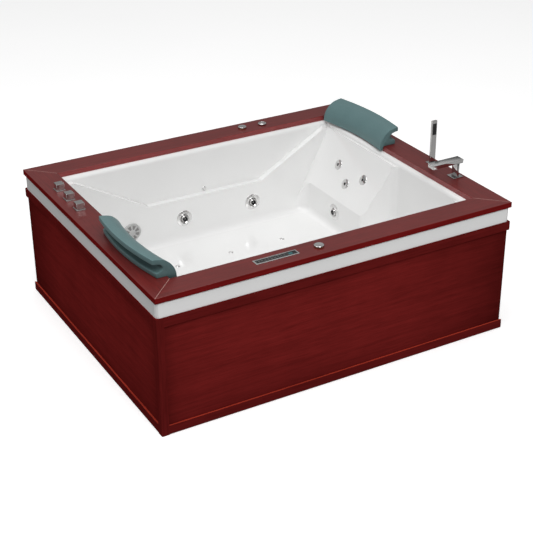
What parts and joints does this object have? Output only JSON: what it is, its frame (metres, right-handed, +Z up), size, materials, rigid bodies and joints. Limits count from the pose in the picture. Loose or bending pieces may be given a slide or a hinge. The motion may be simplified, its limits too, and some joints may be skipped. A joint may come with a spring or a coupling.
{
  "type": "jetted bathtub",
  "caption": "Rectangular two-seat jetted bathtub with mitred wooden deck and panelled aprons, opposed reclined seats, head pillows, deck taps, spout and hand shower.",
  "frame": {"origin": "on the floor under the middle of the deck", "axes": "+Z up, +X along the length towards the spout end, -Y towards the front with the control panel"},
  "size_m": [1.8, 1.5, 0.8863],
  "materials": {
    "acrylic_white": "gloss",
    "deck_wood": "satin lacquer",
    "apron_wood": "satin lacquer",
    "batten_wood": "plain",
    "frame_steel": "galvanised",
    "foot_steel": "zinc plated",
    "pillow_skin": "matt grained",
    "chrome": "polished",
    "chrome_trim": "chrome plated",
    "valve_brass": "plain",
    "black_plastic": "matt",
    "jet_chrome": "chrome plated",
    "keypad": "matt",
    "display_glass": "gloss",
    "motor_grey": "painted",
    "box_grey": "matt",
    "pipe_white": "satin"
  },
  "bodies": {
    "tub": {"air_blower": "black_plastic", "air_pipes": "pipe_white", "air_valves": "valve_brass", "apron_panel_back": "apron_wood", "apron_panel_front": "apron_wood", "apron_panel_left": "apron_wood", "apron_panel_right": "apron_wood", "back_jet_rings": "chrome", "base_frame": "frame_steel", "bath_spout": "chrome", "control_bezel": "chrome_trim", "control_box": "box_grey", "control_display": "display_glass", "control_keypad": "keypad", "corner_battens": "batten_wood", "corner_post": "apron_wood", "deck_board_back": "deck_wood", "deck_board_front": "deck_wood", "deck_board_left": "deck_wood", "deck_board_right": "deck_wood", "drain_body": "chrome", "floor_air_jets": "chrome", "hand_shower_holder": "chrome", "jet_bodies": "black_plastic", "jet_rings": "chrome", "level_sensor": "chrome", "levelling_feet": "foot_steel", "overflow_pipe": "pipe_white", "pillow_left": "pillow_skin", "pillow_right": "pillow_skin", "plinths": "apron_wood", "pressure_pipes": "pipe_white", "pump_motor": "motor_grey", "pump_wet_end": "black_plastic", "push_button_bezel": "chrome", "rim_frame": "frame_steel", "spout_base": "chrome", "suction_body": "black_plastic", "suction_cover": "chrome_trim", "suction_pipe": "pipe_white", "tap_plates": "chrome", "tap_valves": "valve_brass", "top_rails": "apron_wood", "tub_shell": "acrylic_white"},
    "cold_knob": {"cold_knob": "chrome"},
    "diverter_knob": {"diverter_knob": "chrome"},
    "hot_knob": {"hot_knob": "chrome"},
    "air_knob_back": {"air_knob_back": "chrome"},
    "air_knob_front": {"air_knob_front": "chrome"},
    "push_button": {"push_button": "chrome"},
    "hand_shower": {"hand_shower": "chrome", "hand_shower_spray_plate": "black_plastic"},
    "jet_nozzle_back_left": {"jet_nozzle_back_left": "jet_chrome"},
    "jet_nozzle_back_right": {"jet_nozzle_back_right": "jet_chrome"},
    "jet_nozzle_right_end": {"jet_nozzle_right_end": "jet_chrome"},
    "jet_nozzle_front_right": {"jet_nozzle_front_right": "jet_chrome"},
    "jet_nozzle_front_left": {"jet_nozzle_front_left": "jet_chrome"},
    "jet_nozzle_left_end": {"jet_nozzle_left_end": "jet_chrome"},
    "overflow_knob": {"overflow_knob": "chrome"},
    "drain_plug": {"drain_plug": "chrome"}
  },
  "joints": [
    {"name": "cold_knob_turn", "type": "hinge", "parent": "tub", "child": "cold_knob", "pos_m": [-0.836, 0.186, 0.68], "axis": [0, 0, 1], "range_deg": [0, 90]},
    {"name": "diverter_knob_turn", "type": "hinge", "parent": "tub", "child": "diverter_knob", "pos_m": [-0.836, 0.3085, 0.68], "axis": [0, 0, 1], "range_deg": [0, 90]},
    {"name": "hot_knob_turn", "type": "hinge", "parent": "tub", "child": "hot_knob", "pos_m": [-0.836, 0.431, 0.68], "axis": [0, 0, 1], "range_deg": [0, 90]},
    {"name": "air_knob_back_turn", "type": "hinge", "parent": "tub", "child": "air_knob_back", "pos_m": [0.28, 0.686, 0.67], "axis": [0, 0, 1], "range_deg": [0, 180]},
    {"name": "air_knob_front_turn", "type": "hinge", "parent": "tub", "child": "air_knob_front", "pos_m": [-0.097, -0.686, 0.67], "axis": [0, 0, 1], "range_deg": [0, 180]},
    {"name": "push_button_press", "type": "slide", "parent": "tub", "child": "push_button", "axis": [0, 0, -1], "range_m": [0, 0.004], "stiffness_N_per_m": 600},
    {"name": "hand_shower_lift", "type": "slide", "parent": "tub", "child": "hand_shower", "axis": [0, 0, 1], "range_m": [0, 0.16]},
    {"name": "jet_back_left_aim", "type": "hinge", "parent": "tub", "child": "jet_nozzle_back_left", "pos_m": [-0.131, 0.572, 0.289], "axis": [0, 0, 1], "range_deg": [-15, 15]},
    {"name": "jet_back_right_aim", "type": "hinge", "parent": "tub", "child": "jet_nozzle_back_right", "pos_m": [0.271, 0.572, 0.289], "axis": [0, 0, 1], "range_deg": [-15, 15]},
    {"name": "jet_right_end_aim", "type": "hinge", "parent": "tub", "child": "jet_nozzle_right_end", "pos_m": [0.599, 0.273, 0.271], "axis": [0, 0, 1], "range_deg": [-15, 15]},
    {"name": "jet_front_right_aim", "type": "hinge", "parent": "tub", "child": "jet_nozzle_front_right", "pos_m": [0.131, -0.572, 0.289], "axis": [0, 0, 1], "range_deg": [-15, 15]},
    {"name": "jet_front_left_aim", "type": "hinge", "parent": "tub", "child": "jet_nozzle_front_left", "pos_m": [-0.271, -0.572, 0.289], "axis": [0, 0, 1], "range_deg": [-15, 15]},
    {"name": "jet_left_end_aim", "type": "hinge", "parent": "tub", "child": "jet_nozzle_left_end", "pos_m": [-0.599, -0.273, 0.271], "axis": [0, 0, 1], "range_deg": [-15, 15]},
    {"name": "overflow_knob_turn", "type": "hinge", "parent": "tub", "child": "overflow_knob", "pos_m": [0, -0.6, 0.472], "axis": [0, 1, 0], "range_deg": [0, 90]},
    {"name": "drain_plug_lift", "type": "slide", "parent": "tub", "child": "drain_plug", "axis": [0, 0, 1], "range_m": [0, 0.01]}
  ],
  "couplings": [
    {"joint": "drain_plug_lift", "follows": "overflow_knob_turn", "m_per_rad": 0.00636}
  ]
}
